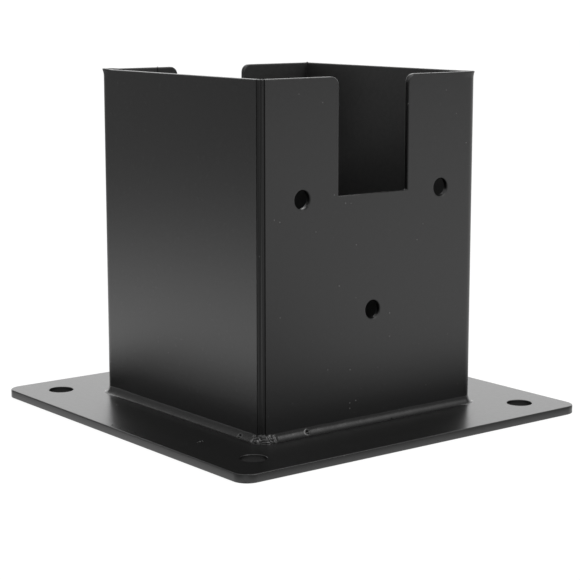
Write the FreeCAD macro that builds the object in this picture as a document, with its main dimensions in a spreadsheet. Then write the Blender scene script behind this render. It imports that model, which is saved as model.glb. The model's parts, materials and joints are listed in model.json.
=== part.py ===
import FreeCAD, Part
import Sketcher
import math
import os

# Post base bracket: a square sheet steel sleeve welded on a square base plate.
# Millimetres, +Z up. The origin is the middle of the plate's underside.
# The notched wall with three screw holes faces -Y, and its twin faces +Y.
# Turning the bracket half a turn about +Z brings it onto itself.

DRIVING_SIZES = (
    ("plate_side", 150.0),
    ("plate_thickness", 3.0),
    ("plate_corner_radius", 5.5),
    ("plate_edge_radius", 0.4),
    ("anchor_inset", 15.0),
    ("anchor_hole_diameter", 9.0),
    ("sleeve_width", 96.0),
    ("sleeve_height", 119.0),
    ("wall_thickness", 2.0),
    ("bend_inner_radius", 2.0),
    ("notch_width", 30.5),
    ("notch_depth", 39.6),
    ("tab_corner_radius", 3.0),
    ("screw_hole_diameter", 6.2),
    ("upper_screw_spacing", 61.4),
    ("upper_screw_below_rim", 39.6),
    ("lower_screw_above_plate", 39.5),
    ("seam_root_gap", 0.1),
    ("foot_weld_height", 2.6),
    ("foot_weld_width", 2.0),
    ("foot_weld_hollow", 0.4),
    ("cut_overrun", 2.0),
)

# Distances that several sketches share, as formulas on the sheet's sizes.
HALF = "Sizes.sleeve_width / 2"
SEAM_LEG = "(Sizes.wall_thickness + Sizes.seam_root_gap)"
BEND_OUTER = "(Sizes.bend_inner_radius + Sizes.wall_thickness)"
INNER = f"({HALF} - Sizes.wall_thickness)"
SEAM_END = f"({HALF} - {SEAM_LEG})"
BEND_START = f"({HALF} - {BEND_OUTER})"
WELD_REACH = f"({HALF} + Sizes.foot_weld_width)"
OVERREACH = f"({WELD_REACH} + Sizes.cut_overrun)"

QUARTER_TURN = 90.0
HALF_TURN = 180.0
FULL_TURN = 360.0

doc = FreeCAD.newDocument("PostBaseBracket")


def make_sheet():
    """Write each driving size into its own cell, with its name as the alias."""
    cells = doc.addObject("Spreadsheet::Sheet", "Sizes")
    for row, (alias, number) in enumerate(DRIVING_SIZES, start=1):
        cells.set(f"A{row}", alias.replace("_", " "))
        cells.set(f"B{row}", str(number))
        cells.setAlias(f"B{row}", alias)
    doc.recompute()
    return cells


sheet = make_sheet()


def value(formula):
    """The present value of a formula, used to place geometry before it is constrained."""
    return float(sheet.evalExpression(formula))


def new_body(name, turn_degrees=0.0, on_plate=True):
    """An empty body with its own label, turned about +Z and standing on the plate."""
    body = doc.addObject("PartDesign::Body", name)
    body.Label = name
    turn = FreeCAD.Rotation(FreeCAD.Vector(0, 0, 1), turn_degrees)
    body.Placement = FreeCAD.Placement(FreeCAD.Vector(0, 0, 0), turn)
    if on_plate:
        body.setExpression("Placement.Base.z", "Sizes.plate_thickness")
    return body


def new_sketch(body, name, role, offset=None):
    """A sketch on one of the body's own origin planes, moved along its normal by a formula."""
    sketch = body.newObject("Sketcher::SketchObject", name)
    plane = next(item for item in body.Origin.OriginFeatures if item.Role == role)
    sketch.AttachmentSupport = [(plane, "")]
    sketch.MapMode = "FlatFace"
    if offset is not None:
        sketch.setExpression("AttachmentOffset.Base.z", offset)
    return sketch


def bind(sketch, constraint, name, formula):
    """Add a constraint, name it and tie it to a formula."""
    sketch.renameConstraint(sketch.addConstraint(constraint), name)
    sketch.setExpression(f"Constraints.{name}", formula)


def pin_point(sketch, geometry, end, name, x_formula, y_formula):
    """Fix one point of a sketch by its two distances from the sketch's origin."""
    x_value = value(x_formula)
    y_value = value(y_formula)
    bind(sketch, Sketcher.Constraint("DistanceX", -1, 1, geometry, end, x_value), f"{name}_x", x_formula)
    bind(sketch, Sketcher.Constraint("DistanceY", -1, 1, geometry, end, y_value), f"{name}_y", y_formula)


def arc_between(start, end, radius, turn):
    """The shorter arc from start to end. Turn is "left" or "right" as one walks along it."""
    chord = end - start
    side = FreeCAD.Vector(-chord.y, chord.x, 0).normalize()
    height = math.sqrt(radius ** 2 - (chord.Length / 2) ** 2)
    sign = 1 if turn == "left" else -1
    centre = (start + end) / 2 + side * (sign * height)
    angles = [math.atan2(point.y - centre.y, point.x - centre.x) for point in (start, end)]
    if turn == "right":
        angles.reverse()
    circle = Part.Circle(centre, FreeCAD.Vector(0, 0, 1), radius)
    return Part.ArcOfCircle(circle, *angles)


def closed_outline(sketch, corners):
    """Draw a closed outline through named corners.

    Each corner is (name, x formula, y formula, edge), where edge describes the side that
    leaves the corner: None for a straight side, or (radius formula, turn) for an arc.
    """
    points = [FreeCAD.Vector(value(x), value(y), 0) for _, x, y, _ in corners]
    ends = []
    for number, (name, _, _, edge) in enumerate(corners):
        start = points[number]
        end = points[(number + 1) % len(points)]
        if edge is None:
            geometry = sketch.addGeometry(Part.LineSegment(start, end))
            ends.append((geometry, 1, 2))
        else:
            radius, turn = edge
            geometry = sketch.addGeometry(arc_between(start, end, value(radius), turn))
            bind(sketch, Sketcher.Constraint("Radius", geometry, value(radius)), f"{name}_radius", radius)
            ends.append((geometry, 1, 2) if turn == "left" else (geometry, 2, 1))
    for number, (name, x_formula, y_formula, _) in enumerate(corners):
        geometry, first, _ = ends[number]
        before, _, last = ends[number - 1]
        sketch.addConstraint(Sketcher.Constraint("Coincident", before, last, geometry, first))
        pin_point(sketch, geometry, first, name, x_formula, y_formula)


def round_hole(sketch, name, x_formula, y_formula, diameter):
    """Draw a circle whose centre and diameter follow formulas."""
    centre = FreeCAD.Vector(value(x_formula), value(y_formula), 0)
    radius = value(diameter) / 2
    geometry = sketch.addGeometry(Part.Circle(centre, FreeCAD.Vector(0, 0, 1), radius))
    pin_point(sketch, geometry, 3, name, x_formula, y_formula)
    bind(sketch, Sketcher.Constraint("Diameter", geometry, 2 * radius), f"{name}_diameter", diameter)


def pad(body, name, sketch, length, reverse=False):
    """Grow a sketch into a solid along its normal."""
    feature = body.newObject("PartDesign::Pad", name)
    feature.Profile = sketch
    feature.setExpression("Length", length)
    feature.Reversed = reverse
    doc.recompute()
    return feature


def cut_through(body, name, sketch, reverse=False):
    """Cut a sketch all the way through the body on one side of its plane."""
    before = body.Shape.Volume
    feature = body.newObject("PartDesign::Pocket", name)
    feature.Profile = sketch
    feature.Type = "ThroughAll"
    feature.Reversed = reverse
    doc.recompute()
    if body.Shape.Volume >= before:
        raise RuntimeError(f"{name} cuts nothing")
    return feature


def edge_names(shape, wanted):
    """The names of the edges of a shape that pass a test."""
    return [f"Edge{number}" for number, edge in enumerate(shape.Edges, start=1) if wanted(edge)]


def fillet(body, name, wanted, radius):
    """Round the edges of the body's last feature that pass a test."""
    base = body.Tip
    feature = body.newObject("PartDesign::Fillet", name)
    feature.Base = (base, edge_names(base.Shape, wanted))
    feature.setExpression("Radius", radius)
    doc.recompute()
    return feature


def is_upright(edge):
    """Whether an edge runs straight along Z."""
    box = edge.BoundBox
    return box.ZLength > 0 and max(box.XLength, box.YLength) < Part.Precision.confusion()


def make_base_plate():
    """The square plate, cut from flat bar, with rounded corners and four anchor holes."""
    body = new_body("base_plate", on_plate=False)
    side = "Sizes.plate_side / 2"
    outline = new_sketch(body, "PlateOutline", "XY_Plane")
    closed_outline(outline, (
        ("front_left", f"-{side}", f"-{side}", None),
        ("front_right", side, f"-{side}", None),
        ("back_right", side, side, None),
        ("back_left", f"-{side}", side, None),
    ))
    pad(body, "PlatePad", outline, "Sizes.plate_thickness")
    fillet(body, "PlateCorners", is_upright, "Sizes.plate_corner_radius")
    # The rims of the two faces are broken before coating, the upright seams of the corners aren't.
    fillet(body, "PlateEdges", lambda edge: not is_upright(edge), "Sizes.plate_edge_radius")

    anchor = new_sketch(body, "AnchorHole", "XY_Plane")
    place = f"({side} - Sizes.anchor_inset)"
    round_hole(anchor, "anchor", place, place, "Sizes.anchor_hole_diameter")
    hole = cut_through(body, "AnchorCut", anchor, reverse=True)
    pattern = body.newObject("PartDesign::PolarPattern", "AnchorPattern")
    pattern.Originals = [hole]
    pattern.Axis = (anchor, ["N_Axis"])
    pattern.Angle = FULL_TURN
    pattern.Occurrences = 4
    body.Tip = pattern
    doc.recompute()
    return body


def make_sleeve_half(name, turn_degrees):
    """One folded half of the sleeve: the notched wall, a bend and a plain wall.

    It is drawn as the half whose notched wall faces -Y. Its two free edges stop short of the
    sleeve's corners, where the seam welds join it to the other half.
    """
    body = new_body(name, turn_degrees)
    section = new_sketch(body, f"Section_{name}", "XY_Plane")
    closed_outline(section, (
        ("seam_outer", f"-{SEAM_END}", f"-{HALF}", None),
        ("bend_outer_start", BEND_START, f"-{HALF}", (BEND_OUTER, "left")),
        ("bend_outer_end", HALF, f"-{BEND_START}", None),
        ("far_outer", HALF, SEAM_END, None),
        ("far_inner", INNER, SEAM_END, None),
        ("bend_inner_start", INNER, f"-{BEND_START}", ("Sizes.bend_inner_radius", "right")),
        ("bend_inner_end", BEND_START, f"-{INNER}", None),
        ("seam_inner", f"-{SEAM_END}", f"-{INNER}", None),
    ))
    pad(body, f"Walls_{name}", section, "Sizes.sleeve_height")

    # The notch is open at the rim, and the tabs beside it have rounded top corners.
    side = "Sizes.notch_width / 2"
    tab = f"({side} + Sizes.tab_corner_radius)"
    floor = "(Sizes.sleeve_height - Sizes.notch_depth)"
    corner = "(Sizes.sleeve_height - Sizes.tab_corner_radius)"
    above = "(Sizes.sleeve_height + Sizes.cut_overrun)"
    rounding = ("Sizes.tab_corner_radius", "right")
    notch = new_sketch(body, f"Notch_{name}", "XZ_Plane")
    closed_outline(notch, (
        ("floor_left", f"-{side}", floor, None),
        ("floor_right", side, floor, None),
        ("side_right", side, corner, rounding),
        ("rim_right", tab, "Sizes.sleeve_height", None),
        ("above_right", tab, above, None),
        ("above_left", f"-{tab}", above, None),
        ("rim_left", f"-{tab}", "Sizes.sleeve_height", rounding),
        ("side_left", f"-{side}", corner, None),
    ))
    cut_through(body, f"NotchCut_{name}", notch, reverse=True)

    screws = new_sketch(body, f"Screws_{name}", "XZ_Plane")
    reach = "Sizes.upper_screw_spacing / 2"
    level = "(Sizes.sleeve_height - Sizes.upper_screw_below_rim)"
    round_hole(screws, "upper_left", f"-{reach}", level, "Sizes.screw_hole_diameter")
    round_hole(screws, "upper_right", reach, level, "Sizes.screw_hole_diameter")
    round_hole(screws, "lower", "0", "Sizes.lower_screw_above_plate", "Sizes.screw_hole_diameter")
    cut_through(body, f"ScrewCut_{name}", screws, reverse=True)
    return body


def make_seam_weld(name, turn_degrees):
    """The weld that fills the open corner between the two halves, ground to a flat facet.

    It is drawn for the corner at -X and -Y. The narrow side towards the inside is the root,
    as wide as the gap that the two sheet edges leave.
    """
    body = new_body(name, turn_degrees)
    section = new_sketch(body, f"Section_{name}", "XY_Plane")
    closed_outline(section, (
        ("facet_left", f"-{HALF}", f"-{SEAM_END}", None),
        ("facet_front", f"-{SEAM_END}", f"-{HALF}", None),
        ("root_front", f"-{SEAM_END}", f"-{INNER}", None),
        ("root_left", f"-{INNER}", f"-{SEAM_END}", None),
    ))
    pad(body, f"Bead_{name}", section, "Sizes.sleeve_height")
    return body


def bead_section(sketch, outwards):
    """Half of a fillet weld's run seen end on, with a hollow face, reaching in under the sleeve.

    The part under the sleeve only carries the bead across the seam's facet, and is cut away
    later. Outwards is the sign of the sketch's horizontal axis away from the sleeve.
    """
    sign = "-" if outwards < 0 else ""
    chord_square = "(Sizes.foot_weld_width ^ 2 + Sizes.foot_weld_height ^ 2)"
    hollow = "Sizes.foot_weld_hollow"
    radius = f"(({chord_square} / 4 + {hollow} ^ 2) / (2 * {hollow}))"
    closed_outline(sketch, (
        ("toe", f"{sign}{WELD_REACH}", "0", (radius, "left" if outwards < 0 else "right")),
        ("top", f"{sign}{HALF}", "Sizes.foot_weld_height", None),
        ("inner_top", f"{sign}{SEAM_END}", "Sizes.foot_weld_height", None),
        ("inner_foot", f"{sign}{SEAM_END}", "0", None),
    ))


def make_foot_weld(name, turn_degrees):
    """The fillet weld that joins one half's outer foot to the plate.

    It runs from the middle of one seam, along the notched wall, round the bend and along the
    plain wall to the middle of the other seam, where the second weld takes over.
    """
    body = new_body(name, turn_degrees)
    run = f"({BEND_START} + {WELD_REACH})"

    front = new_sketch(body, f"FrontRun_{name}", "YZ_Plane", BEND_START)
    bead_section(front, -1)
    pad(body, f"FrontBead_{name}", front, run, reverse=True)

    # The right run is drawn level with the bend's centre, and its plane's normal points to -Y.
    right = new_sketch(body, f"RightRun_{name}", "XZ_Plane", BEND_START)
    bead_section(right, 1)
    pad(body, f"RightBead_{name}", right, run, reverse=True)

    bend = new_sketch(body, f"BendRun_{name}", "XZ_Plane", BEND_START)
    bead_section(bend, 1)
    axis = bend.addGeometry(Part.LineSegment(
        FreeCAD.Vector(value(BEND_START), 0, 0),
        FreeCAD.Vector(value(BEND_START), value("Sizes.foot_weld_height"), 0),
    ), True)
    pin_point(bend, axis, 1, "axis_foot", BEND_START, "0")
    pin_point(bend, axis, 2, "axis_top", BEND_START, "Sizes.foot_weld_height")
    before = body.Shape.Volume
    turn = body.newObject("PartDesign::Revolution", f"BendBead_{name}")
    turn.Profile = bend
    turn.ReferenceAxis = (bend, ["Axis0"])
    turn.Angle = QUARTER_TURN
    turn.Reversed = True
    doc.recompute()
    if body.Shape.Volume <= before:
        raise RuntimeError("the weld's bend adds nothing")

    # What lies inside the sleeve's outline is not weld. The outline's corners at the seams are facets.
    inside = new_sketch(body, f"Inside_{name}", "XY_Plane")
    closed_outline(inside, (
        ("facet_front", f"-{SEAM_END}", f"-{HALF}", None),
        ("bend_start", BEND_START, f"-{HALF}", (BEND_OUTER, "left")),
        ("bend_end", HALF, f"-{BEND_START}", None),
        ("facet_right", HALF, SEAM_END, None),
        ("facet_back", SEAM_END, HALF, None),
        ("far_back", f"-{HALF}", HALF, None),
        ("facet_left", f"-{HALF}", f"-{SEAM_END}", None),
    ))
    cut_through(body, f"InsideCut_{name}", inside, reverse=True)

    # The two runs end on the upright plane through both seams.
    mitre = new_sketch(body, f"Mitre_{name}", "XY_Plane")
    closed_outline(mitre, (
        ("front_end", f"-{OVERREACH}", f"-{OVERREACH}", None),
        ("back_end", OVERREACH, OVERREACH, None),
        ("far_end", f"-{OVERREACH}", OVERREACH, None),
    ))
    cut_through(body, f"MitreCut_{name}", mitre, reverse=True)
    return body


def check_and_export(bodies):
    """Stop on any failed feature or broken solid, then write one file for each piece."""
    doc.recompute()
    for item in doc.Objects:
        if "Invalid" in item.State or "Error" in item.State:
            raise RuntimeError(f"{item.Name} failed: {item.State}")
    for body in bodies:
        shape = body.Shape
        if shape.isNull() or not shape.isValid() or len(shape.Solids) != 1:
            raise RuntimeError(f"{body.Label} is not one sound solid")
    os.makedirs("parts", exist_ok=True)
    for body in bodies:
        body.Shape.exportStep(f"parts/{body.Label}.step")
        box = body.Shape.BoundBox
        print(f"{body.Label}: {body.Shape.Volume:.1f} mm3, z {box.ZMin:.2f} to {box.ZMax:.2f}")


pieces = [make_base_plate()]
for maker, stem in (
    (make_sleeve_half, "sleeve_half"),
    (make_seam_weld, "seam_weld"),
    (make_foot_weld, "foot_weld"),
):
    pieces.append(maker(f"{stem}_front", 0.0))
    pieces.append(maker(f"{stem}_back", HALF_TURN))
check_and_export(pieces)
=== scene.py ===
# %% [markdown]
# # A black welded post bracket, dressed for its portrait
# The bracket is a square sleeve of folded sheet steel on a square plate. It was welded, its corner
# seams were ground flat, and the whole was powder coated black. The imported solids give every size.
# This lesson gives them softened edges, the marks of welding and a satin coat, and then a studio.

import json
import math

import bmesh
import bpy
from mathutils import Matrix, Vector


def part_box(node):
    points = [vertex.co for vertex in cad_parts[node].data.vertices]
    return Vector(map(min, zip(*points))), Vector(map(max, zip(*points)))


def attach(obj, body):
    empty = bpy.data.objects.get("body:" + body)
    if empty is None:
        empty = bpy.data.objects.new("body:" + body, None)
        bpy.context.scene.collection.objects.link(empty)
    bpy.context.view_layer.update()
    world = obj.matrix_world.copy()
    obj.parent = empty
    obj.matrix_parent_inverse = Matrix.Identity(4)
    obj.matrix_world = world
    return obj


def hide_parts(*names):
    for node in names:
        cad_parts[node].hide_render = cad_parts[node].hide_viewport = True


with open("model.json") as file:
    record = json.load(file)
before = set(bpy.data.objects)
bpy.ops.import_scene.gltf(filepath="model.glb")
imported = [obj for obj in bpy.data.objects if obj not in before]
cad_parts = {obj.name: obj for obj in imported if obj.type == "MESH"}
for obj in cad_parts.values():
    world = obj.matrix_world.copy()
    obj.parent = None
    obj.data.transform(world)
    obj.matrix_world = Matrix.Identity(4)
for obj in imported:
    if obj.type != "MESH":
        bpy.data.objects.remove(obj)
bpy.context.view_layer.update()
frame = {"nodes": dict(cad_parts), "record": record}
MM = 0.001
print("solids:", sorted(frame["nodes"]))

# %% [markdown]
# The looks need a few sizes of the bracket. They could be typed in again, but then they would go
# stale. The record keeps the sizes of the mounts and each solid has a box, so they are read from
# there, and a new size of bracket is dressed just as well. Only the bend's radius is in neither.

# %% Sizes read from the frame
mounts = {mount["name"]: mount for mount in frame["record"]["mounts"]}
plate_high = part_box("base_plate")[1]
sleeve_low, sleeve_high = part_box("sleeve_half_front")
bead_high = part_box("foot_weld_front")[1]
PLATE_TOP = plate_high.z
RIM = sleeve_high.z
HALF = sleeve_high.x
WALL = mounts["lower_screw_hole_front"]["dims"]["length_mm"] * MM
BEAD_REACH = bead_high.x - HALF
BEAD_HEIGHT = bead_high.z - PLATE_TOP
BEND_RADIUS = 4.0 * MM
SEAM_LEG = sleeve_low.x + HALF
print(f"half width {HALF:.4f}, rim {RIM:.4f}, wall {WALL:.4f}, seam leg {SEAM_LEG:.4f}")
print(f"foot weld {BEAD_REACH:.4f} wide and {BEAD_HEIGHT:.4f} high")

# %% [markdown]
# The photograph was taken from the front left, a little above the rim, with a long lens. A camera
# could follow a target by a constraint. Here its place is worked out once, from two angles, a
# distance and the point that it looks at, because those are easy to tune one at a time.

# %% The camera
AZIMUTH = math.radians(-37.988)
ELEVATION = math.radians(9.967)
DISTANCE = 0.6183
AIM_HEIGHT = 0.04257
AIM_RIGHT = 0.00129
LENS = 105.55
NEAREST = 0.01

towards_camera = Vector((
    math.sin(AZIMUTH) * math.cos(ELEVATION),
    -math.cos(AZIMUTH) * math.cos(ELEVATION),
    math.sin(ELEVATION),
))
right_hand = Vector((math.cos(AZIMUTH), math.sin(AZIMUTH), 0))
aim = Vector((0, 0, AIM_HEIGHT)) + right_hand * AIM_RIGHT
camera = bpy.data.objects.new("camera", bpy.data.cameras.new("camera"))
camera.data.lens = LENS
camera.data.clip_start = NEAREST
camera.location = aim + towards_camera * DISTANCE
camera.rotation_mode = "QUATERNION"
camera.rotation_quaternion = (-towards_camera).to_track_quat("-Z", "Y")
bpy.context.scene.collection.objects.link(camera)
bpy.context.scene.camera = camera
print("camera at", [round(x, 4) for x in camera.location])

# %% [markdown]
# Node trees can be wired by hand in the editor. In a script they are easier to read when small
# helpers do the wiring. `put` feeds a socket from another socket or with a plain value, `add` makes
# a node, and `calc` and `vector` are one step of arithmetic.

# %% Helpers that wire nodes
def put(tree, target, source):
    """Feed a socket from another socket, or give it a plain value."""
    if isinstance(source, bpy.types.NodeSocket):
        tree.links.new(source, target)
    else:
        target.default_value = source


def add(tree, kind, inputs=None, **settings):
    """A new node with its settings made and its inputs fed by name."""
    node = tree.nodes.new(kind)
    for name, value in settings.items():
        setattr(node, name, value)
    for name, source in (inputs or {}).items():
        put(tree, node.inputs[name], source)
    return node


def calc(tree, operation, *terms):
    """One step of arithmetic on numbers."""
    node = tree.nodes.new("ShaderNodeMath")
    node.operation = operation
    for socket, term in zip(node.inputs, terms):
        put(tree, socket, term)
    return node.outputs[0]


def vector(tree, operation, *terms, scale=None):
    """One step of arithmetic on vectors."""
    node = tree.nodes.new("ShaderNodeVectorMath")
    node.operation = operation
    for socket, term in zip(node.inputs, terms):
        put(tree, socket, term)
    if scale is not None:
        put(tree, node.inputs["Scale"], scale)
    numbers = operation in ("LENGTH", "DISTANCE", "DOT_PRODUCT")
    return node.outputs["Value" if numbers else "Vector"]

# %% [markdown]
# Most masks here are a smooth step between two values. `ramp` makes that with one Map Range node.
# A tree could keep its values inside, but then each use would need a tree of its own. `tree_sockets`
# names what the user of a tree may set, like a tool with labelled knobs.

# %% Helpers for steps and for a tree's sockets
FLOAT = "NodeSocketFloat"
VECTOR = "NodeSocketVector"
GEOMETRY = "NodeSocketGeometry"
MATERIAL = "NodeSocketMaterial"
COUNT = "NodeSocketInt"


def ramp(tree, source, low, high, start=0.0, end=1.0):
    """A smooth step: start below low, end above high."""
    node = tree.nodes.new("ShaderNodeMapRange")
    node.interpolation_type = "SMOOTHSTEP"
    for name, value in (("Value", source), ("From Min", low), ("From Max", high),
                        ("To Min", start), ("To Max", end)):
        put(tree, node.inputs[name], value)
    return node.outputs[0]


def grey_colour(tree, level):
    """A colour whose three parts are one number."""
    return add(tree, "ShaderNodeCombineColor", {"Red": level, "Green": level, "Blue": level}).outputs[0]


def tree_sockets(tree, inputs, outputs):
    """Name a tree's inputs, with their kinds and usual values, and its outputs."""
    made = {}
    for name, kind, usual in inputs:
        socket = tree.interface.new_socket(name, in_out="INPUT", socket_type=kind)
        if usual is not None:
            socket.default_value = usual
        made[name] = socket
    for name, kind in outputs:
        tree.interface.new_socket(name, in_out="OUTPUT", socket_type=kind)
    return made

# %% [markdown]
# Powder coat is sprayed as dry powder and melts into a skin. It never lies quite flat: it has a fine
# grain and, over it, the soft waves that painters call orange peel. Noise in the piece's own
# coordinates has no seams and needs no unwrapping. All the finishes of the bracket need it, so it is
# a shader group that gives a height for a Bump node and a shade to vary with.

# %% A group for the skin of powder coat
def make_coat_skin():
    """Height and shade of powder coat, in metres, from the piece's own coordinates."""
    tree = bpy.data.node_groups.new("coat skin", "ShaderNodeTree")
    tree_sockets(
        tree,
        [("Place", VECTOR, None), ("Peel size", FLOAT, 1.6 * MM), ("Peel height", FLOAT, 6e-6),
         ("Grain size", FLOAT, 0.35 * MM), ("Grain height", FLOAT, 2e-6)],
        [("Height", FLOAT), ("Shade", FLOAT)],
    )
    given = add(tree, "NodeGroupInput").outputs
    given_out = add(tree, "NodeGroupOutput")
    heights = []
    shades = []
    for kind in ("Peel", "Grain"):
        scale = calc(tree, "DIVIDE", 1.0, given[f"{kind} size"])
        noise = add(tree, "ShaderNodeTexNoise",
                    {"Vector": given["Place"], "Scale": scale, "Detail": 1.5, "Roughness": 0.5})
        centred = calc(tree, "SUBTRACT", noise.outputs["Fac"], 0.5)
        heights.append(calc(tree, "MULTIPLY", centred, given[f"{kind} height"]))
        shades.append(noise.outputs["Fac"])
    put(tree, given_out.inputs["Height"], calc(tree, "ADD", *heights))
    put(tree, given_out.inputs["Shade"], calc(tree, "MULTIPLY", calc(tree, "ADD", *shades), 0.5))
    return tree


coat_skin = make_coat_skin()
print("group:", coat_skin.name, "with", len(coat_skin.nodes), "nodes")

# %% [markdown]
# A black part shows every speck. Dust lies on it as pale points of a few tenths of a millimetre, here
# and there. Thousands of tiny meshes could stand for it. A cell texture costs far less: each cell may
# hold one speck, and the cell's own random number leaves most of them empty.

# %% A group for specks of dust
def make_dust():
    """A mask that is 1 on scattered specks and 0 elsewhere."""
    tree = bpy.data.node_groups.new("dust specks", "ShaderNodeTree")
    tree_sockets(
        tree,
        [("Place", VECTOR, None), ("Spacing", FLOAT, 2.5 * MM), ("Speck", FLOAT, 0.22 * MM),
         ("Share", FLOAT, 0.3)],
        [("Mask", FLOAT)],
    )
    given = add(tree, "NodeGroupInput").outputs
    given_out = add(tree, "NodeGroupOutput")
    scale = calc(tree, "DIVIDE", 1.0, given["Spacing"])
    cells = add(tree, "ShaderNodeTexVoronoi", {"Vector": given["Place"], "Scale": scale})
    away = calc(tree, "MULTIPLY", cells.outputs["Distance"], given["Spacing"])
    chance = add(tree, "ShaderNodeSeparateColor", {"Color": cells.outputs["Color"]}).outputs
    speck = calc(tree, "MULTIPLY", given["Speck"], ramp(tree, chance["Green"], 0.0, 1.0, 0.5, 1.3))
    inside = calc(tree, "SUBTRACT", 1.0, ramp(tree, calc(tree, "DIVIDE", away, speck), 0.6, 1.0))
    kept = calc(tree, "LESS_THAN", chance["Red"], given["Share"])
    put(tree, given_out.inputs["Mask"], calc(tree, "MULTIPLY", inside, kept))
    return tree


dust_specks = make_dust()
print("group:", dust_specks.name, "with", len(dust_specks.nodes), "nodes")

# %% [markdown]
# All the finishes are one black coat. Satin looks like two glosses at once, and a Principled shader
# can give both: a tight one in its base, and a wide weak haze in its coat. Charged powder hardly
# reaches into a box, so inside the sleeve the coat is thin and dull, and its roughness rises there. Its
# colour is lighter there too, as painted light for the light that reaches the inner faces. How deep a
# point lies behind the outer faces tells where that is.

# %% The black coat
BLACK = 0.002
DUSTY = 0.16
DUST_ROUGHNESS = 0.4
SHADE_SPREAD = 0.08
HAZE_SHARE = 0.15
COAT_IOR = 1.7
# The inner faces get a lighter black than BLACK: painted light for the light that reaches inside the sleeve.
INSIDE_PAINTED_LIGHT = 0.022
ROUGH_INSIDE = 0.2


def inside_mask(tree, place):
    """1 on the inner faces of the sleeve and 0 on its outer faces."""
    parts = add(tree, "ShaderNodeSeparateXYZ", {"Vector": vector(tree, "ABSOLUTE", place)}).outputs
    depth = calc(tree, "SUBTRACT", HALF, calc(tree, "MAXIMUM", parts["X"], parts["Y"]))
    return ramp(tree, depth, 0.7 * WALL, 0.95 * WALL)


def make_coat(name, haze, gloss, peel_height, grain_height, dust_share):
    """Black powder coat as a Principled material with grain, orange peel, dust and painted light inside."""
    material = bpy.data.materials.new(name)
    material.use_nodes = True
    tree = material.node_tree
    shader = tree.nodes["Principled BSDF"].inputs
    shader["IOR"].default_value = COAT_IOR
    shader["Coat Weight"].default_value = HAZE_SHARE
    shader["Coat Roughness"].default_value = haze
    place = add(tree, "ShaderNodeTexCoord").outputs["Object"]
    skin = add(tree, "ShaderNodeGroup",
               {"Place": place, "Peel height": peel_height, "Grain height": grain_height},
               node_tree=coat_skin).outputs
    dust = add(tree, "ShaderNodeGroup", {"Place": place, "Share": dust_share},
               node_tree=dust_specks).outputs["Mask"]
    inside = inside_mask(tree, place)
    # The base colour is lifted on the inner faces: painted light.
    black_and_painted_light = calc(tree, "MULTIPLY_ADD", inside, 2 * (INSIDE_PAINTED_LIGHT - BLACK), 2 * BLACK)
    level = calc(tree, "MULTIPLY_ADD", dust, DUSTY, calc(tree, "MULTIPLY", skin["Shade"], black_and_painted_light))
    put(tree, shader["Base Color"], grey_colour(tree, level))
    plain = calc(tree, "MULTIPLY_ADD", inside, ROUGH_INSIDE, gloss - SHADE_SPREAD / 2)
    varied = calc(tree, "MULTIPLY_ADD", skin["Shade"], SHADE_SPREAD, plain)
    put(tree, shader["Roughness"], calc(tree, "MULTIPLY_ADD", dust, DUST_ROUGHNESS, varied))
    bump = add(tree, "ShaderNodeBump", {"Height": skin["Height"], "Distance": 1.0})
    put(tree, shader["Normal"], bump.outputs[0])
    return material


print(f"black {BLACK}, inside {INSIDE_PAINTED_LIGHT}, haze share {HAZE_SHARE}")

# %% [markdown]
# Three materials could be built apart, but they would drift from one black. One function makes them
# all. Over the sleeve's sheet the coat is satin. On the plate it is a little rougher, which softens
# the edge of the wall's mirror image there. Over weld metal it is a little glossier, because the
# powder flows off the ridges and pools between them.

# %% The three finishes
powder_coat = make_coat("black_coat", 0.5, 0.26, 16e-6, 6e-6, 0.12)
plate_coat = make_coat("coat_on_plate", 0.38, 0.3, 16e-6, 6e-6, 0.12)
coated_weld = make_coat("coat_on_weld", 0.45, 0.22, 14e-6, 5e-6, 0.15)
print("materials:", powder_coat.name, plate_coat.name, coated_weld.name)

# %% [markdown]
# Solids from a CAD program have edges as sharp as a razor. On the real bracket the powder rounds each
# edge by a few tenths of a millimetre, and that thin round catches a line of light. A Bevel node in
# the material could fake it, but then it isn't in the mesh. So each solid's mesh is copied and its
# loose triangles are merged. Then the edges to round are weighed. Edges that lie against a weld stay
# sharp, so that no groove opens there.

# %% Copies of the solids, with their edges weighed
SHARP = math.radians(30)
SAME_PLANE = math.radians(0.2)
MERGE = 0.001 * MM


def merged_copy(node):
    """A solid's mesh as a bmesh with shared corners and whole flat faces."""
    mesh = bmesh.new()
    mesh.from_mesh(frame["nodes"][node].data)
    bmesh.ops.remove_doubles(mesh, verts=mesh.verts, dist=MERGE)
    bmesh.ops.dissolve_limit(mesh, angle_limit=SAME_PLANE, verts=mesh.verts, edges=mesh.edges)
    return mesh


def against_weld(edge):
    """Whether an edge of the sleeve lies on the plate or beside a seam, where it stays sharp."""
    ends = [vertex.co for vertex in edge.verts]
    reach = HALF - SEAM_LEG
    free = any(all(abs(abs(end[axis]) - reach) < MERGE for end in ends) for axis in (0, 1))
    return free or any(end.z < PLATE_TOP + MERGE for end in ends)


def mark_edges(mesh, stays_sharp):
    """Weigh the sharp edges that the coat rounds, and mark the others as sharp."""
    weight = mesh.edges.layers.float.new("bevel_weight_edge")
    rounded = 0
    for edge in mesh.edges:
        if edge.is_manifold and edge.calc_face_angle() > SHARP:
            if stays_sharp(edge):
                edge.smooth = False
            else:
                edge[weight] = 1.0
                rounded += 1
    return rounded


for node in ("base_plate", "sleeve_half_front", "sleeve_half_back"):
    mesh = merged_copy(node)
    print(node, "has", len(mesh.faces), "whole faces and", len(mesh.edges), "edges")
    mesh.free()

# %% [markdown]
# A Bevel modifier rounds the weighed edges, and a Weighted Normal modifier keeps the large faces flat
# to the light. Both are turned into a plain mesh at once, and the new piece takes the solid's place.
# The flat plate needs nothing more.

# %% From a solid to a dressed piece, and the plate
EDGE_ROUND = 0.28 * MM
SHEET_ROUND = 0.45 * MM
ROUND_STEPS = 3


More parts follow.
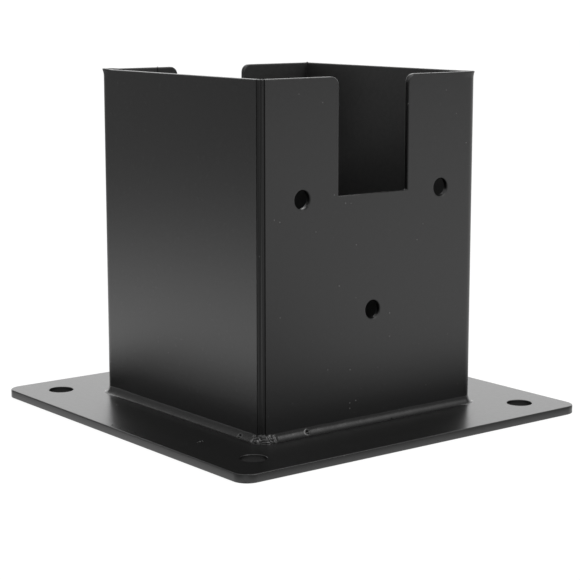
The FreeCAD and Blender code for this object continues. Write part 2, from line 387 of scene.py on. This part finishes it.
def on_scene(name, mesh, material):
    """A new object for a mesh, at the origin, with its material."""
    piece = bpy.data.objects.new(name, mesh)
    bpy.context.scene.collection.objects.link(piece)
    mesh.materials.clear()
    mesh.materials.append(material)
    return piece


def plain_mesh(piece):
    """What a piece's modifiers make of it, as a mesh of its own."""
    graph = bpy.context.evaluated_depsgraph_get()
    return bpy.data.meshes.new_from_object(piece.evaluated_get(graph), depsgraph=graph)


def soft_copy(name, node, mesh, stays_sharp, width, material):
    """The finished piece for a solid: softened edges, black coat, and the solid's own place."""
    rounded = mark_edges(mesh, stays_sharp)
    data = bpy.data.meshes.new(name)
    mesh.to_mesh(data)
    mesh.free()
    data.shade_smooth()
    piece = on_scene(name, data, material)
    bevel = piece.modifiers.new("soft edges", "BEVEL")
    bevel.limit_method = "WEIGHT"
    bevel.width = width
    bevel.segments = ROUND_STEPS
    bevel.use_clamp_overlap = False
    flats = piece.modifiers.new("flat faces stay flat", "WEIGHTED_NORMAL")
    flats.mode = "FACE_AREA"
    flats.weight = 100
    flats.keep_sharp = True
    finished = plain_mesh(piece)
    piece.modifiers.clear()
    piece.data = finished
    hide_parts(node)
    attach(piece, "root")
    print(name, "has", rounded, "softened edges and", len(finished.polygons), "faces")


soft_copy("plate", "base_plate", merged_copy("base_plate"), lambda edge: False, EDGE_ROUND, plate_coat)

# %% [markdown]
# The sleeve is folded from two equal sheets. At the top of each fold the press squeezed the metal out
# a little, so the corner flares over its last few millimetres. A lattice could bend the corner, but
# a short rule is easier to steer: cuts near the fold give the mesh the points that it needs, and each
# point moves outward and up, the more the nearer it is to the rim and to the fold.

# %% The folded halves of the sleeve
FLARE_CUTS = [0.6 * MM, 0.9 * MM, 1.3 * MM, 1.8 * MM, 2.4 * MM]
FLARE_SIDES = [5.0 * MM, 6.2 * MM, 7.5 * MM]
FLARE_DEPTH = 2.4 * MM
FLARE_SPREAD = 7.5 * MM


def cut(mesh, faces, place, way):
    """Add a flat cut through some of the faces of a mesh."""
    edges = {edge for face in faces for edge in face.edges}
    points = {vertex for face in faces for vertex in face.verts}
    bmesh.ops.bisect_plane(mesh, geom=[*points, *edges, *faces], plane_co=place, plane_no=way)


def flare_fold(mesh, corner, amount, lift):
    """Push the top of a fold outward and up, most at the rim and at the middle of the fold."""
    for aside in FLARE_SIDES:
        cut(mesh, list(mesh.faces), corner * (1 - aside / HALF), (1, 0, 0))
        cut(mesh, list(mesh.faces), corner * (1 - aside / HALF), (0, 1, 0))
    for below in FLARE_CUTS:
        fold = [face for face in mesh.faces
                if all((vertex.co.xy - corner.xy).length < FLARE_SPREAD + WALL for vertex in face.verts)]
        cut(mesh, fold, (0, 0, RIM - below), (0, 0, 1))
    outward = Vector((corner.x, corner.y, 0)).normalized()
    for vertex in mesh.verts:
        rise = max(0.0, 1 - (RIM - vertex.co.z) / FLARE_DEPTH)
        aside = (vertex.co.xy - corner.xy).length
        near = max(0.0, 1 - aside / FLARE_SPREAD)
        vertex.co += outward * amount * rise ** 2 * near ** 0.7
        vertex.co.z += lift * rise ** 2 * near ** 0.7


for name, node, corner, amount, lift in (
    ("sleeve_front", "sleeve_half_front", Vector((HALF, -HALF, 0)), 0.6 * MM, 0.15 * MM),
    ("sleeve_back", "sleeve_half_back", Vector((-HALF, HALF, 0)), 0.8 * MM, 0.4 * MM),
):
    mesh = merged_copy(node)
    flare_fold(mesh, corner, amount, lift)
    soft_copy(name, node, mesh, against_weld, SHEET_ROUND, powder_coat)

# %% [markdown]
# All the welds are one idea: a cross-section that travels along a path. A curve's own bevel could do
# it, but then the skin couldn't be marked point by point. So in Geometry Nodes a grid is bent to that
# rule. One way of the grid runs along the path and the other way round the section, and the first and
# last rows close to a point, so the weld is a solid. The host is a curve object with two splines:
# spline 0 is the path and spline 1 the section, whose X points away from the sleeve and whose Y
# follows the guide.

# %% The grid behind a weld
def host_point(tree, curves, index):
    """The position of a numbered point of the host curve."""
    node = add(tree, "GeometryNodeSampleIndex", data_type="FLOAT_VECTOR", domain="POINT")
    put(tree, node.inputs["Geometry"], curves)
    put(tree, node.inputs["Value"], add(tree, "GeometryNodeInputPosition").outputs[0])
    put(tree, node.inputs["Index"], index)
    return node.outputs["Value"]


def weld_grid(tree, given):
    """A grid, and for each of its points the share of the path and the place in the section."""
    round_count = calc(tree, "ADD", given["Section points"], 1)
    grid = add(tree, "GeometryNodeMeshGrid",
               {"Size X": 1.0, "Size Y": 1.0, "Vertices X": given["Rows"], "Vertices Y": round_count})
    index = add(tree, "GeometryNodeInputIndex").outputs[0]
    row = calc(tree, "FLOOR", calc(tree, "DIVIDE", calc(tree, "ADD", index, 0.5), round_count))
    column = calc(tree, "SUBTRACT", index, calc(tree, "MULTIPLY", row, round_count))
    lap = calc(tree, "MODULO", column, given["Section points"])
    run = calc(tree, "DIVIDE", calc(tree, "SUBTRACT", row, 1), calc(tree, "SUBTRACT", given["Rows"], 3))
    closing = calc(tree, "ADD", calc(tree, "LESS_THAN", run, -1e-6),
                   calc(tree, "GREATER_THAN", run, 1 + 1e-6))
    mix = add(tree, "ShaderNodeMix", data_type="VECTOR")
    put(tree, mix.inputs["Factor"], closing)
    put(tree, mix.inputs[4], host_point(tree, given["Curves"], calc(tree, "ADD", given["Path points"], lap)))
    put(tree, mix.inputs[5], given["Middle"])
    section = add(tree, "ShaderNodeSeparateXYZ", {"Vector": mix.outputs[1]}).outputs
    return grid.outputs["Mesh"], run, section


def across(tree, away, guide, x, y):
    """A step of x away from the sleeve and y along the guide."""
    return vector(tree, "ADD", vector(tree, "SCALE", away, scale=x), vector(tree, "SCALE", guide, scale=y))

# %% [markdown]
# A hand-laid weld is never even. Fine grit and ripples cover it, where the pool of metal froze step
# by step. Where a run starts and stops it is lumpy, and a bubble of gas may leave a small crater with
# a raised ring. Each mark is one height, and their sum lifts the skin outward. The section's Z says
# how far a point takes part, which is not at all at the root.

# %% The marks on a weld's skin
RIPPLE_WANDER = 3 * MM
LUMP_STRETCH = (1, 1, 0.45)
LUMP_PLACE = (0.031, 0.012, 0.0)
LUMP_BIAS = 0.12


def noise_at(tree, place, size, detail):
    """Noise between about -0.5 and 0.5."""
    noise = add(tree, "ShaderNodeTexNoise",
                {"Vector": place, "Scale": calc(tree, "DIVIDE", 1.0, size), "Detail": detail})
    return calc(tree, "SUBTRACT", noise.outputs["Fac"], 0.5)


def lumps_and_pit(tree, given, place):
    """Lumps near one place of the weld, and one crater with its ring."""
    from_lump = vector(tree, "DISTANCE", place, given["Lump centre"])
    lumpy = ramp(tree, calc(tree, "DIVIDE", from_lump, given["Lump reach"]), 0.75, 1.0, 1.0, 0.0)
    streak = vector(tree, "MULTIPLY_ADD", place, LUMP_STRETCH, LUMP_PLACE)
    lump = calc(tree, "ADD", noise_at(tree, streak, given["Lump size"], 1.5), LUMP_BIAS)
    lumps = calc(tree, "MULTIPLY", lumpy, calc(tree, "MULTIPLY", lump, given["Lump"]))
    from_pit = calc(tree, "DIVIDE", vector(tree, "DISTANCE", place, given["Pit centre"]), given["Pit size"])
    hollow = ramp(tree, from_pit, 0.2, 0.65, -1.0, 0.0)
    ring = calc(tree, "MULTIPLY", ramp(tree, from_pit, 0.55, 0.75), ramp(tree, from_pit, 0.8, 1.05, 0.35, 0.0))
    return calc(tree, "MULTIPLY_ADD", calc(tree, "ADD", ring, hollow), given["Pit depth"], lumps)


def weld_rise(tree, given, place, run):
    """How far all the marks lift each point of the weld's skin."""
    grit = calc(tree, "MULTIPLY", noise_at(tree, place, given["Grit size"], 2.0), given["Grit"])
    whole = add(tree, "GeometryNodeCurveLength")
    put(tree, whole.inputs[0], given["Curves"])
    wander = calc(tree, "MULTIPLY", noise_at(tree, place, given["Swell size"], 1.0), RIPPLE_WANDER)
    travelled = calc(tree, "MULTIPLY_ADD", whole.outputs[0], run, wander)
    turns = calc(tree, "MULTIPLY", calc(tree, "DIVIDE", travelled, given["Ripple pitch"]), 2 * math.pi)
    ripple = calc(tree, "MULTIPLY_ADD", calc(tree, "SINE", turns), given["Ripple"], grit)
    return calc(tree, "ADD", ripple, lumps_and_pit(tree, given, place))


print("ripples wander by", RIPPLE_WANDER / MM, "mm")

# %% [markdown]
# The tree puts the two together. It samples the path, sets each point of the grid beside it with a
# swell that comes and goes, lifts the point by its marks, and merges the closing rows.

# %% The tree that makes a weld
def make_weld_tree():
    """Sweep spline 1 of a curve object along its spline 0, and mark it as a hand would."""
    tree = bpy.data.node_groups.new("weld", "GeometryNodeTree")
    sockets = tree_sockets(
        tree,
        [("Curves", GEOMETRY, None), ("Guide", VECTOR, (0, 0, 1)), ("Outward", VECTOR, (1, 0, 0)),
         ("Rows", COUNT, 600), ("Path points", COUNT, 10), ("Section points", COUNT, 10),
         ("Middle", VECTOR, (0, 0, 0)), ("Swell", FLOAT, 0.05), ("Swell size", FLOAT, 9 * MM),
         ("Grit", FLOAT, 0.03 * MM), ("Grit size", FLOAT, 0.8 * MM), ("Ripple", FLOAT, 0.01 * MM),
         ("Ripple pitch", FLOAT, 1.1 * MM), ("Lump", FLOAT, 0.0), ("Lump size", FLOAT, 1.5 * MM),
         ("Lump centre", VECTOR, (0, 0, 0)), ("Lump reach", FLOAT, 5 * MM),
         ("Pit centre", VECTOR, (0, 0, 0)), ("Pit size", FLOAT, 1 * MM), ("Pit depth", FLOAT, 0.0),
         ("Material", MATERIAL, None)],
        [("Mesh", GEOMETRY)],
    )
    given = add(tree, "NodeGroupInput").outputs
    given_out = add(tree, "NodeGroupOutput")
    grid, run, section = weld_grid(tree, given)
    on_path = add(tree, "GeometryNodeSampleCurve", mode="FACTOR", data_type="FLOAT")
    put(tree, on_path.inputs["Curves"], given["Curves"])
    put(tree, on_path.inputs["Factor"], add(tree, "ShaderNodeClamp", {"Value": run}).outputs[0])
    start = on_path.outputs["Position"]
    away = vector(tree, "CROSS_PRODUCT", on_path.outputs["Tangent"], given["Guide"])
    swell = calc(tree, "MULTIPLY_ADD", noise_at(tree, start, given["Swell size"], 1.0), given["Swell"], 1.0)
    beside = across(tree, away, given["Guide"], calc(tree, "MULTIPLY", section["X"], swell),
                    calc(tree, "MULTIPLY", section["Y"], swell))
    place = vector(tree, "ADD", start, beside)
    rise = calc(tree, "MULTIPLY", weld_rise(tree, given, place, run), section["Z"])
    outward = add(tree, "ShaderNodeSeparateXYZ", {"Vector": given["Outward"]}).outputs
    lift = across(tree, away, given["Guide"], calc(tree, "MULTIPLY", outward["X"], rise),
                  calc(tree, "MULTIPLY", outward["Y"], rise))
    place = vector(tree, "ADD", place, lift)
    bent = add(tree, "GeometryNodeSetPosition", {"Geometry": grid, "Position": place})
    shut = add(tree, "GeometryNodeMergeByDistance", {"Geometry": bent.outputs[0], "Distance": 1e-7})
    smooth = add(tree, "GeometryNodeSetShadeSmooth", {"Geometry": shut.outputs[0]})
    real = add(tree, "GeometryNodeRealizeInstances", {"Geometry": smooth.outputs[0]})
    dressed = add(tree, "GeometryNodeSetMaterial",
                  {"Geometry": real.outputs[0], "Material": given["Material"]})
    put(tree, given_out.inputs["Mesh"], dressed.outputs[0])
    return tree, {name: socket.identifier for name, socket in sockets.items()}


weld_tree, weld_inputs = make_weld_tree()
print("weld tree:", len(weld_tree.nodes), "nodes and", len(weld_inputs), "inputs")

# %% [markdown]
# Each weld then needs only its path, its section and its settings. The tree runs once on a host
# curve, and its result is kept as a plain mesh. A closed mesh has no open edges, and its volume is
# above zero when its faces point outward, so both are printed.

# %% From a path and a section to a weld
def weld_host(name, path, section):
    """A curve object whose spline 0 is the path and whose spline 1 is the section."""
    data = bpy.data.curves.new(name + "_lines", "CURVE")
    data.dimensions = "3D"
    for points in (path, section):
        spline = data.splines.new("POLY")
        spline.points.add(len(points) - 1)
        for point, place in zip(spline.points, points):
            point.co = (*place, 1)
    host = bpy.data.objects.new(name + "_lines", data)
    bpy.context.scene.collection.objects.link(host)
    return host


def weld_piece(name, node, path, section, settings):
    """A weld along a path of points, made by the tree and kept as a plain mesh."""
    host = weld_host(name, path, section)
    modifier = host.modifiers.new("weld", "NODES")
    modifier.node_group = weld_tree
    middle = sum((Vector(place) for place in section), Vector()) / len(section)
    values = {"Path points": len(path), "Section points": len(section), "Middle": (middle.x, middle.y, 0),
              "Material": coated_weld, **settings}
    for key, value in values.items():
        modifier[weld_inputs[key]] = value
    mesh = plain_mesh(host)
    bpy.data.objects.remove(host)
    piece = on_scene(name, mesh, coated_weld)
    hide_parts(node)
    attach(piece, "root")
    shape = bmesh.new()
    shape.from_mesh(mesh)
    print(name, "faces", len(mesh.polygons), "volume mm3", round(shape.calc_volume(signed=True) / MM ** 3, 1),
          "open edges", sum(not edge.is_manifold for edge in shape.edges))
    shape.free()

# %% [markdown]
# The two upright seams were welded full and ground flat. The grinder left a narrow facet with long
# bands that don't quite agree, and beside its middle a hairline where the sheets met. A bump could
# hint at the bands, but drawn in the section they are real, and they reach the rim as notches. Near
# the rim the seam is a little lumpy.

# %% The ground seams
FACET_MID = (HALF + (HALF - SEAM_LEG)) / 2
FACET_HALF = SEAM_LEG / math.sqrt(2)
SEAM_DEPTH = WALL / math.sqrt(2)
ROOT_HALF = (SEAM_LEG - WALL) / math.sqrt(2)
# The place across the facet, from the end of one sheet to the other, and the height over the flat.
FACET_BANDS = [
    (0.0, 0.0), (0.02, -0.22), (0.09, -0.22), (0.13, -0.03), (0.38, 0.02), (0.42, -0.2), (0.5, -0.2),
    (0.55, 0.0), (0.62, 0.02), (0.65, 0.14), (0.69, 0.02), (0.74, 0.0), (0.77, -0.28), (0.94, -0.28),
    (0.98, -0.1),
]


def seam_section():
    """The ground facet with its bands, and the root of the weld behind it."""
    facet = [(height * MM, FACET_HALF * (1 - 2 * share), 1) for share, height in FACET_BANDS]
    whole = facet + [(0, -FACET_HALF, 0), (-SEAM_DEPTH, -ROOT_HALF, 0), (-SEAM_DEPTH, ROOT_HALF, 0)]
    return whole[::-1]


for name, node, side in (("seam_front", "seam_weld_front", -1), ("seam_back", "seam_weld_back", 1)):
    spot = side * FACET_MID
    path = [(spot, spot, PLATE_TOP), (spot, spot, RIM)]
    guide = (side / math.sqrt(2), -side / math.sqrt(2), 0)
    weld_piece(name, node, path, seam_section(), {
        "Guide": guide, "Rows": 240, "Swell": 0.0, "Grit": 0.02 * MM, "Grit size": 1.4 * MM,
        "Ripple": 0.0, "Lump": 0.25 * MM, "Lump size": 0.7 * MM, "Lump centre": (spot, spot, RIM),
        "Lump reach": 3.4 * MM})

# %% [markdown]
# The fillet weld round the foot was laid in two runs that meet at the seams. Its path follows the
# sleeve's outline, with an arc at each corner. Its face could be a plain arc too, but a hollow that
# can be set is easier to fit, so it is drawn between a quarter ellipse and a straight line. The root
# is sunk a hair into both sheets.

# %% The path and the section of the foot weld
SINK = 0.05 * MM
LEAD = 0.2 * MM
CORNER_RADIUS = 3.5 * MM
FLATNESS = 0.28
FACE_STEPS = 16
ARC_STEP = math.radians(3)
QUARTER = math.pi / 2


def arc_points(centre, radius, start, end):
    """Points on a level arc, from one angle to another."""
    count = max(2, round(abs(end - start) / ARC_STEP))
    turns = [start + (end - start) * step / count for step in range(count + 1)]
    return [(centre[0] + radius * math.cos(turn), centre[1] + radius * math.sin(turn), PLATE_TOP)
            for turn in turns]


def foot_path(side):
    """Half the way round the sleeve's foot, from one seam to the other."""
    inner = HALF - CORNER_RADIUS
    fold = HALF - BEND_RADIUS
    path = arc_points((-inner, -inner), CORNER_RADIUS, -1.5 * QUARTER, -QUARTER)
    path += arc_points((fold, -fold), BEND_RADIUS, -QUARTER, 0)
    path += arc_points((inner, inner), CORNER_RADIUS, 0, 0.5 * QUARTER)
    return [(side * x, side * y, z) for x, y, z in path]


def foot_section():
    """A hollow fillet whose marks fade towards the wall and the plate, and its sunk root."""
    face = []
    for step in range(FACE_STEPS + 1):
        part = step / FACE_STEPS
        turn = QUARTER * part
        cove = Vector((BEAD_REACH * (1 - math.sin(turn)), BEAD_HEIGHT * (1 - math.cos(turn))))
        place = cove.lerp(Vector((BEAD_REACH * (1 - part), BEAD_HEIGHT * part)), FLATNESS)
        face.append((place.x, place.y, min(1.0, 5 * part * (1 - part))))
    return [(-SINK, -SINK, 0), (BEAD_REACH + LEAD, -SINK, 0)] + face + [(-SINK, BEAD_HEIGHT + LEAD, 0)]


print("path points:", len(foot_path(1)), "section points:", len(foot_section()))

# %% [markdown]
# The two runs have one shape, half a turn apart. Where they meet at the front left seam the weld is
# lumpy, and each has one small crater. Chance could place these marks, but with a place of its own
# each is easier to steer.

# %% The runs round the foot
LUMPY_CORNER = (-HALF + 1.6 * MM, -HALF, PLATE_TOP + 1.2 * MM)
FRONT_PIT = (-29.0 * MM, -HALF - 0.75 * MM, PLATE_TOP + 1.15 * MM)
LEFT_PIT = (-HALF - 0.9 * MM, -37.6 * MM, PLATE_TOP + 0.6 * MM)

outward = Vector((BEAD_HEIGHT, BEAD_REACH, 0)).normalized()
for name, node, side, pit in (("foot_run_front", "foot_weld_front", 1, FRONT_PIT),
                              ("foot_run_back", "foot_weld_back", -1, LEFT_PIT)):
    weld_piece(name, node, foot_path(side), foot_section(), {
        "Guide": (0, 0, 1), "Outward": tuple(outward), "Rows": 900, "Swell": 0.16,
        "Grit": 0.03 * MM, "Grit size": 1.4 * MM, "Ripple": 0.005 * MM, "Ripple pitch": 2.4 * MM,
        "Lump": 3.2 * MM, "Lump size": 1.9 * MM, "Lump centre": LUMPY_CORNER, "Lump reach": 5.0 * MM,
        "Pit centre": pit, "Pit size": 1.15 * MM, "Pit depth": 0.5 * MM})

# %% [markdown]
# Powder coat traps grit. Each grain stands up as a nib of a few tenths of a millimetre, and a nick in
# the sheet's edge leaves a burr. They could be scattered by chance. Here each has a place of its own,
# so they are a short list.

# %% Where the nibs and the burr are
# The place of each, and its half size in x, y and z, in millimetres.
NIBS = [
    ((-48, 6.95, 120.7), (0.13, 0.16, 0.16)), ((-48, 5.7, 120.1), (0.12, 0.13, 0.13)),
    ((-40.3, -48, 116.9), (0.15, 0.13, 0.15)), ((-42.7, -48, 117.3), (0.12, 0.1, 0.12)),
    ((26.5, -47, 122), (0.3, 0.25, 0.14)), ((46, 8.8, 120), (0.14, 0.17, 0.17)),
    ((46, 8.7, 111), (0.14, 0.16, 0.16)), ((15.25, -47.4, 111.6), (0.16, 0.2, 0.2)),
    ((-15.25, -47.9, 118.1), (0.16, 0.16, 0.2)), ((-15.25, -47.9, 112.8), (0.15, 0.15, 0.18)),
    ((-15.25, -47.9, 102), (0.15, 0.15, 0.2)), ((-46.8, -47.1, 119.6), (0.16, 0.16, 0.2)),
    ((46.6, 46.6, 122), (0.35, 0.35, 0.25)), ((-24.2, 46, 121.1), (0.17, 0.3, 1.25)),
    ((-73.2, 3.4, 3), (0.3, 0.25, 0.12)), ((-73.2, -1.8, 3), (0.25, 0.2, 0.1)),
    ((-73.2, -6.1, 3), (0.3, 0.22, 0.12)), ((-72.8, -10.5, 3), (0.25, 0.3, 0.1)),
    ((-56.4, 26.5, 3), (0.3, 0.25, 0.1)), ((-63, -33.4, 3), (0.5, 0.3, 0.2)),
    ((-62.1, -33.4, 3), (0.7, 0.35, 0.4)), ((-61, -33.3, 3), (0.6, 0.3, 0.3)),
    ((6.1, -75, 0.9), (0.3, 0.1, 0.16)), ((8, -49.4, 3.4), (0.25, 0.2, 0.18)),
]
print("nibs:", len(NIBS))

# %% [markdown]
# One tree sets a bead of coat on every listed point. The host object carries only the points, each
# with its own size stored as an attribute, so a new nib is one more line in the list. Noise dents
# each bead, because a smooth ball looks like a pearl.

# %% The tree that sets a nib on each point
DENT = 0.3 * MM


def make_nib_tree():
    """A rounded nib on each point of the host, as large as the point's size says."""
    tree = bpy.data.node_groups.new("nibs", "GeometryNodeTree")
    sockets = tree_sockets(
        tree,
        [("Points", GEOMETRY, None), ("Uneven", FLOAT, 0.25), ("Uneven size", FLOAT, 0.25 * MM),
         ("Material", MATERIAL, None)],
        [("Mesh", GEOMETRY)],
    )
    given = add(tree, "NodeGroupInput").outputs
    given_out = add(tree, "NodeGroupOutput")
    ball = add(tree, "GeometryNodeMeshIcoSphere", {"Radius": 1.0, "Subdivisions": 3})
    size = add(tree, "GeometryNodeInputNamedAttribute", {"Name": "size"}, data_type="FLOAT_VECTOR")
    beads = add(tree, "GeometryNodeInstanceOnPoints",
                {"Points": given["Points"], "Instance": ball.outputs["Mesh"],
                 "Scale": size.outputs["Attribute"]})
    loose = add(tree, "GeometryNodeRealizeInstances", {"Geometry": beads.outputs[0]})
    place = add(tree, "GeometryNodeInputPosition").outputs[0]
    rise = calc(tree, "MULTIPLY", noise_at(tree, place, given["Uneven size"], 1.0),
                calc(tree, "MULTIPLY", given["Uneven"], DENT))
    shift = vector(tree, "SCALE", add(tree, "GeometryNodeInputNormal").outputs[0], scale=rise)
    bent = add(tree, "GeometryNodeSetPosition", {"Geometry": loose.outputs[0], "Offset": shift})
    smooth = add(tree, "GeometryNodeSetShadeSmooth", {"Geometry": bent.outputs[0]})
    real = add(tree, "GeometryNodeRealizeInstances", {"Geometry": smooth.outputs[0]})
    dressed = add(tree, "GeometryNodeSetMaterial",
                  {"Geometry": real.outputs[0], "Material": given["Material"]})
    put(tree, given_out.inputs["Mesh"], dressed.outputs[0])
    return tree, {name: socket.identifier for name, socket in sockets.items()}


nib_tree, nib_inputs = make_nib_tree()
print("nib tree:", len(nib_tree.nodes), "nodes")

# %% [markdown]
# The points become one mesh and one piece. It stands for no solid: it is a mark on the coat.

# %% The nibs as a piece
def make_nibs():
    """The nibs and the burr as one piece."""
    points = bpy.data.meshes.new("nib_points")
    points.from_pydata([[x * MM for x in place] for place, _ in NIBS], [], [])
    sizes = points.attributes.new("size", "FLOAT_VECTOR", "POINT")
    for value, (_, size) in zip(sizes.data, NIBS):
        value.vector = [x * MM for x in size]
    host = bpy.data.objects.new("nib_points", points)
    bpy.context.scene.collection.objects.link(host)
    modifier = host.modifiers.new("nibs", "NODES")
    modifier.node_group = nib_tree
    modifier[nib_inputs["Material"]] = powder_coat
    finished = plain_mesh(host)
    bpy.data.objects.remove(host)
    piece = on_scene("nibs", finished, powder_coat)
    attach(piece, "root")
    print("nibs have", len(finished.polygons), "faces")


make_nibs()

# %% [markdown]
# The bracket stands on a white table. Black satin shows its surroundings as reflections, so how
# bright the table is as a mirror image is painted on its own, as light and shade. Near the bracket
# it is a pool of painted light towards the back left and dim towards the camera, far off it is dim
# both ways, and painted shade lies in a dim band beside the plate. Lamps could do it, but each lamp
# changes the table, the walls and the plate at once.

# %% How bright the table looks in the coat
POOL_RADIUS = 0.45
SHADE_REACH = 0.07
LEVEL = 0.75
NEAR_LIT = 0.4
NEAR_DARK = -0.45
FAR_DROP = -0.5
SHADOW_DIP = -0.72
BACK_WAY = Vector((-towards_camera.x, -towards_camera.y, 0)).normalized()
LIT_WAY = Vector((towards_camera.x, -towards_camera.y, 0)).normalized()


def table_level(tree, place, beyond):
    """The table's brightness, near the bracket and far off, on its lit and its dark side."""
    away = calc(tree, "DIVIDE", vector(tree, "LENGTH", place), POOL_RADIUS)
    # A painted pool of light round the bracket.
    pool = calc(tree, "EXPONENT", calc(tree, "MULTIPLY", calc(tree, "MULTIPLY", away, away), -1.0))
    way = vector(tree, "NORMALIZE", place)
    lit_side = ramp(tree, vector(tree, "DOT_PRODUCT", way, tuple(LIT_WAY)), 0.2, 0.9)
    dark_side = ramp(tree, vector(tree, "DOT_PRODUCT", way, tuple(-BACK_WAY)), 0.3, 0.9)
    clear = ramp(tree, beyond, 0.0, 0.05)
    lit_near = calc(tree, "MULTIPLY_ADD", calc(tree, "MULTIPLY", lit_side, clear), NEAR_LIT, LEVEL)
    near = calc(tree, "MULTIPLY_ADD", calc(tree, "MULTIPLY", dark_side, clear), NEAR_DARK, lit_near)
    far = calc(tree, "MULTIPLY_ADD", calc(tree, "ADD", lit_side, dark_side), FAR_DROP, LEVEL)
    return calc(tree, "MULTIPLY_ADD", calc(tree, "SUBTRACT", near, far), pool, far)


def plate_shade(tree, beyond):
    """Painted shade in a dim band beside the plate and a dark line under its edge, and a painted bright line
    outside that.
    """
    # Painted shade beside the plate, a painted dark line under its edge and a painted bright line outside it.
    dip = calc(tree, "MULTIPLY", ramp(tree, beyond, 0.002, 0.009), ramp(tree, beyond, SHADE_REACH, 0.012))
    hem = calc(tree, "MULTIPLY", ramp(tree, beyond, -0.001, 0.0, 0.35, 1.0),
               ramp(tree, beyond, 0.002, 0.012, 1.25, 1.0))
    return calc(tree, "MULTIPLY", calc(tree, "MULTIPLY_ADD", dip, SHADOW_DIP, 1.0), hem)


print("back way", [round(x, 2) for x in BACK_WAY], "lit way", [round(x, 2) for x in LIT_WAY])

# %% [markdown]
# Light Path tells the material which kind of ray has met the table. The camera's rays see a white
# that still takes the bracket's shadow, mirrored rays see the drawn brightness, and the light that
# bounces sees a plain pale grey. So the background is white without any more light on the bracket.

# %% The table
FLOOR_SIDE = 8.0
CAMERA_GLOW = 0.93
CAMERA_GREY = 0.15
BOUNCE_GREY = 0.8


def make_table_top():
    """The material of the table, with its own look for each kind of ray."""
    material = bpy.data.materials.new("white_table")
    material.use_nodes = True
    tree = material.node_tree
    tree.nodes.clear()
    path = add(tree, "ShaderNodeLightPath").outputs
    seen = path["Is Camera Ray"]
    mirrored = calc(tree, "MAXIMUM", path["Is Glossy Ray"], path["Is Transmission Ray"])
    place = add(tree, "ShaderNodeTexCoord").outputs["Object"]
    parts = add(tree, "ShaderNodeSeparateXYZ", {"Vector": vector(tree, "ABSOLUTE", place)}).outputs
    beyond = calc(tree, "SUBTRACT", calc(tree, "MAXIMUM", parts["X"], parts["Y"]), plate_high.x)
    level = calc(tree, "MULTIPLY", table_level(tree, place, beyond), plate_shade(tree, beyond))
    glow = calc(tree, "MULTIPLY_ADD", mirrored, level, calc(tree, "MULTIPLY", seen, CAMERA_GLOW))
    unseen = calc(tree, "SUBTRACT", 1.0, calc(tree, "MAXIMUM", seen, mirrored))
    grey = calc(tree, "MULTIPLY_ADD", unseen, BOUNCE_GREY, calc(tree, "MULTIPLY", seen, CAMERA_GREY))
    plain = add(tree, "ShaderNodeBsdfDiffuse", {"Color": grey_colour(tree, grey)})
    light = add(tree, "ShaderNodeEmission", {"Color": (1, 1, 1, 1), "Strength": glow})
    both = add(tree, "ShaderNodeAddShader")
    tree.links.new(plain.outputs[0], both.inputs[0])
    tree.links.new(light.outputs[0], both.inputs[1])
    out = add(tree, "ShaderNodeOutputMaterial")
    tree.links.new(both.outputs[0], out.inputs["Surface"])
    return material


side = FLOOR_SIDE / 2
table = bpy.data.meshes.new("floor")
table.from_pydata([(-side, -side, 0), (side, -side, 0), (side, side, 0), (-side, side, 0)], [], [(0, 1, 2, 3)])
floor = on_scene("floor", table, make_table_top())
print("table:", FLOOR_SIDE, "m a side")

# %% [markdown]
# The room is a world shader, drawn for what the coat mirrors. Behind the bracket it is a bright
# backdrop, which shows along the plate. The ceiling is brighter over the camera's side than behind,
# and the walls between are dim. Walls and lamps could be built instead, but each would show as a
# shape in the satin. The camera itself sees only white.

# %% The room
BACKDROP = 1.47
CEILING_BEHIND = 0.3
CEILING_HERE = 0.85
WALLS = 0.25


def make_room():
    """A world with a bright backdrop, a graded ceiling and dim walls, and white to the camera."""
    world = bpy.data.worlds.new("white_room")
    bpy.context.scene.world = world
    world.use_nodes = True
    tree = world.node_tree
    tree.nodes.clear()
    way = add(tree, "ShaderNodeTexCoord").outputs["Generated"]
    behind = vector(tree, "DOT_PRODUCT", way, tuple(BACK_WAY))
    up = vector(tree, "DOT_PRODUCT", way, (0, 0, 1))
    backdrop = ramp(tree, behind, 0.45, 0.85, 0.0, BACKDROP)
    overhead = ramp(tree, behind, 0.4, -0.1, CEILING_BEHIND, CEILING_HERE)
    ceiling = ramp(tree, up, 0.3, 0.6, WALLS, overhead)
    level = calc(tree, "MAXIMUM", backdrop, ceiling)
    seen = add(tree, "ShaderNodeLightPath").outputs["Is Camera Ray"]
    light = add(tree, "ShaderNodeBackground",
                {"Color": (1, 1, 1, 1), "Strength": calc(tree, "MAXIMUM", level, seen)})
    out = add(tree, "ShaderNodeOutputWorld")
    tree.links.new(light.outputs[0], out.inputs["Surface"])


make_room()
print("backdrop", BACKDROP, "ceiling", CEILING_BEHIND, "to", CEILING_HERE, "walls", WALLS)

# %% [markdown]
# One soft box at the front right, above the bracket, is the only lamp. A small lamp could stand
# there too, but its shadows would be hard. This one is square and half a metre wide, and it looks at
# the same point as the camera.

# %% The soft box
BOX_PLACE = (0.3, -0.75, 0.7)
BOX_SIDE = 0.5
BOX_POWER = 1.6

soft_box = bpy.data.objects.new("soft_box", bpy.data.lights.new("soft_box", "AREA"))
soft_box.data.shape = "SQUARE"
soft_box.data.size = BOX_SIDE
soft_box.data.energy = BOX_POWER
soft_box.location = BOX_PLACE
soft_box.rotation_mode = "QUATERNION"
soft_box.rotation_quaternion = (aim - Vector(BOX_PLACE)).to_track_quat("-Z", "Y")
bpy.context.scene.collection.objects.link(soft_box)
bpy.context.scene.view_settings.view_transform = "Standard"
print("soft box:", BOX_POWER, "W from", BOX_PLACE)
